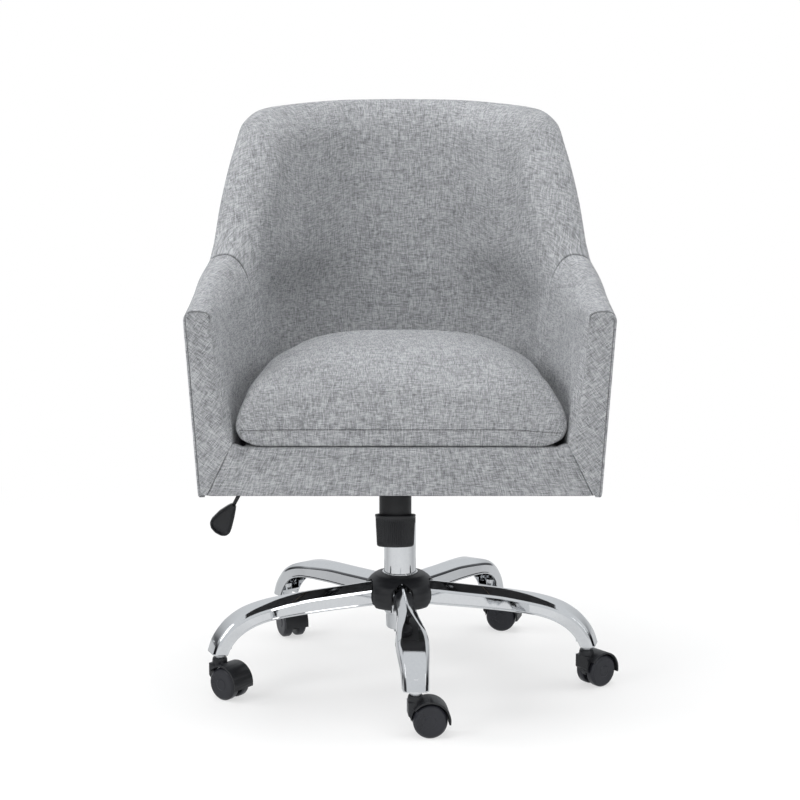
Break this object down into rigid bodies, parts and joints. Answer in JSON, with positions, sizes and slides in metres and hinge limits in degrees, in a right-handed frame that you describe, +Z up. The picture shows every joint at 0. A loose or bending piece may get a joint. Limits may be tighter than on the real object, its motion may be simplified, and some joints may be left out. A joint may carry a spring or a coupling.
{
  "type": "swivel office chair",
  "caption": "Upholstered tub swivel office chair with loose seat cushion, tilt mechanism, gas lift, and a five-legged chromed star base on twin-wheel casters.",
  "frame": {"origin": "centre of the footprint box, on the floor", "axes": "+Z up, the chair faces -Y, +X to the right of someone facing the chair; the column axis stands at x -17.3 mm, y -4.9 mm"},
  "size_m": [0.647, 0.6446, 0.898],
  "materials": {
    "upholstery": "light grey linen-look woven polyester over foam, matt",
    "outer_upholstery": "the same woven fabric, taut over board",
    "plywood": "raw moulded plywood",
    "dust_cloth": "black non-woven dust cloth",
    "chrome": "bright decorative chrome on steel",
    "black_plastic": "black moulded plastic, fine texture",
    "wheel_plastic": "black nylon wheel, satin",
    "black_steel": "black powder-coated pressed steel",
    "zinc_steel": "bright zinc-plated steel"
  },
  "bodies": {
    "base": {"hub_core": "black_steel", "hub_cover": "black_plastic", "hub_ring": "chrome", "leg_1": "chrome", "leg_2": "chrome", "leg_3": "chrome", "leg_4": "chrome", "leg_5": "chrome", "column_tube": "chrome", "guide_bushing": "black_plastic", "gas_rod": "zinc_steel"},
    "caster_1": {"caster_1_housing": "black_plastic", "caster_1_stem": "zinc_steel", "caster_1_axle": "zinc_steel"},
    "wheel_1a": {"caster_1_wheel_a": "wheel_plastic"},
    "wheel_1b": {"caster_1_wheel_b": "wheel_plastic"},
    "caster_2": {"caster_2_housing": "black_plastic", "caster_2_stem": "zinc_steel", "caster_2_axle": "zinc_steel"},
    "wheel_2a": {"caster_2_wheel_a": "wheel_plastic"},
    "wheel_2b": {"caster_2_wheel_b": "wheel_plastic"},
    "caster_3": {"caster_3_housing": "black_plastic", "caster_3_stem": "zinc_steel", "caster_3_axle": "zinc_steel"},
    "wheel_3a": {"caster_3_wheel_a": "wheel_plastic"},
    "wheel_3b": {"caster_3_wheel_b": "wheel_plastic"},
    "caster_4": {"caster_4_housing": "black_plastic", "caster_4_stem": "zinc_steel", "caster_4_axle": "zinc_steel"},
    "wheel_4a": {"caster_4_wheel_a": "wheel_plastic"},
    "wheel_4b": {"caster_4_wheel_b": "wheel_plastic"},
    "caster_5": {"caster_5_housing": "black_plastic", "caster_5_stem": "zinc_steel", "caster_5_axle": "zinc_steel"},
    "wheel_5a": {"caster_5_wheel_a": "wheel_plastic"},
    "wheel_5b": {"caster_5_wheel_b": "wheel_plastic"},
    "lift": {"gas_cylinder": "black_steel"},
    "valve": {"valve_pin": "zinc_steel"},
    "mechanism": {"mechanism_housing": "black_steel", "pivot_shaft": "zinc_steel", "tension_spring": "zinc_steel"},
    "tension": {"tension_bolt": "zinc_steel"},
    "knob": {"tension_knob": "black_plastic"},
    "tilt_lock": {"tilt_lock_slide": "zinc_steel"},
    "lever": {"lever_rod": "black_steel", "lever_paddle": "black_plastic"},
    "seat": {"seat_plate": "black_steel", "seat_frame": "plywood", "seat_bolt_1": "zinc_steel", "seat_bolt_2": "zinc_steel", "seat_bolt_3": "zinc_steel", "seat_bolt_4": "zinc_steel", "tub_frame": "plywood", "outer_shell": "outer_upholstery", "back_pad": "upholstery", "arm_left": "upholstery", "arm_right": "upholstery", "seat_deck": "upholstery", "seat_cushion": "upholstery", "dust_cover": "dust_cloth"}
  },
  "joints": [
    {"name": "caster_1_swivel", "type": "hinge", "parent": "base", "child": "caster_1", "pos_m": [0.00504, -0.30206, 0.05], "axis": [0, 0, 1], "continuous": true},
    {"name": "wheel_1a_roll", "type": "hinge", "parent": "caster_1", "child": "wheel_1a", "pos_m": [0.02497, -0.30032, 0.025], "axis": [-0.0872, 0.9962, 0], "continuous": true},
    {"name": "wheel_1b_roll", "type": "hinge", "parent": "caster_1", "child": "wheel_1b", "pos_m": [0.02497, -0.30032, 0.025], "axis": [-0.0872, 0.9962, 0], "continuous": true},
    {"name": "caster_2_swivel", "type": "hinge", "parent": "base", "child": "caster_2", "pos_m": [0.27222, -0.07548, 0.05], "axis": [0, 0, 1], "continuous": true},
    {"name": "wheel_2a_roll", "type": "hinge", "parent": "caster_2", "child": "wheel_2a", "pos_m": [0.28798, -0.06316, 0.025], "axis": [-0.6157, 0.788, 0], "continuous": true},
    {"name": "wheel_2b_roll", "type": "hinge", "parent": "caster_2", "child": "wheel_2b", "pos_m": [0.28798, -0.06316, 0.025], "axis": [-0.6157, 0.788, 0], "continuous": true},
    {"name": "caster_3_swivel", "type": "hinge", "parent": "base", "child": "caster_3", "pos_m": [0.13929, 0.24864, 0.05], "axis": [0, 0, 1], "continuous": true},
    {"name": "wheel_3a_roll", "type": "hinge", "parent": "caster_3", "child": "wheel_3a", "pos_m": [0.15861, 0.24346, 0.025], "axis": [0.2588, 0.9659, 0], "continuous": true},
    {"name": "wheel_3b_roll", "type": "hinge", "parent": "caster_3", "child": "wheel_3b", "pos_m": [0.15861, 0.24346, 0.025], "axis": [0.2588, 0.9659, 0], "continuous": true},
    {"name": "caster_4_swivel", "type": "hinge", "parent": "base", "child": "caster_4", "pos_m": [-0.21004, 0.22237, 0.05], "axis": [0, 0, 1], "continuous": true},
    {"name": "wheel_4a_roll", "type": "hinge", "parent": "caster_4", "child": "wheel_4a", "pos_m": [-0.20191, 0.2041, 0.025], "axis": [0.9135, 0.4067, 0], "continuous": true},
    {"name": "wheel_4b_roll", "type": "hinge", "parent": "caster_4", "child": "wheel_4b", "pos_m": [-0.20191, 0.2041, 0.025], "axis": [0.9135, 0.4067, 0], "continuous": true},
    {"name": "caster_5_swivel", "type": "hinge", "parent": "base", "child": "caster_5", "pos_m": [-0.29301, -0.11798, 0.05], "axis": [0, 0, 1], "continuous": true},
    {"name": "wheel_5a_roll", "type": "hinge", "parent": "caster_5", "child": "wheel_5a", "pos_m": [-0.27725, -0.13029, 0.025], "axis": [0.6157, 0.788, 0], "continuous": true},
    {"name": "wheel_5b_roll", "type": "hinge", "parent": "caster_5", "child": "wheel_5b", "pos_m": [-0.27725, -0.13029, 0.025], "axis": [0.6157, 0.788, 0], "continuous": true},
    {"name": "height_slide", "type": "slide", "parent": "base", "child": "lift", "axis": [0, 0, 1], "range_m": [-0.035, 0.05]},
    {"name": "valve_press", "type": "slide", "parent": "lift", "child": "valve", "axis": [0, 0, -1], "range_m": [0, 0.0026]},
    {"name": "seat_swivel", "type": "hinge", "parent": "lift", "child": "mechanism", "pos_m": [-0.0173, -0.0049, 0.31], "axis": [0, 0, 1], "continuous": true},
    {"name": "tension_travel", "type": "slide", "parent": "mechanism", "child": "tension", "axis": [0, 0.1478, 0.989], "range_m": [0, 0.0152], "deforming": ["tension_spring"]},
    {"name": "tension_turn", "type": "hinge", "parent": "tension", "child": "knob", "pos_m": [-0.0243, -0.1249, 0.261], "axis": [0, 0.1478, 0.989], "range_deg": [-720, 720]},
    {"name": "tilt_lock_pull", "type": "slide", "parent": "mechanism", "child": "tilt_lock", "axis": [-1, 0, 0], "range_m": [0, 0.0055]},
    {"name": "lever_lift", "type": "hinge", "parent": "tilt_lock", "child": "lever", "pos_m": [-0.0493, 0.0011, 0.315], "axis": [0, 1, 0], "range_deg": [0, 4]},
    {"name": "seat_tilt", "type": "hinge", "parent": "mechanism", "child": "seat", "pos_m": [-0.0173, -0.0399, 0.322], "axis": [-1, 0, 0], "range_deg": [0, 12], "stiffness_Nm_per_rad": 150, "springref_deg": -14.32}
  ],
  "couplings": [
    {"joint": "tension_travel", "follows": "seat_tilt", "m_per_rad": 0.0707},
    {"joint": "valve_press", "follows": "lever_lift", "m_per_rad": 0.0335}
  ]
}
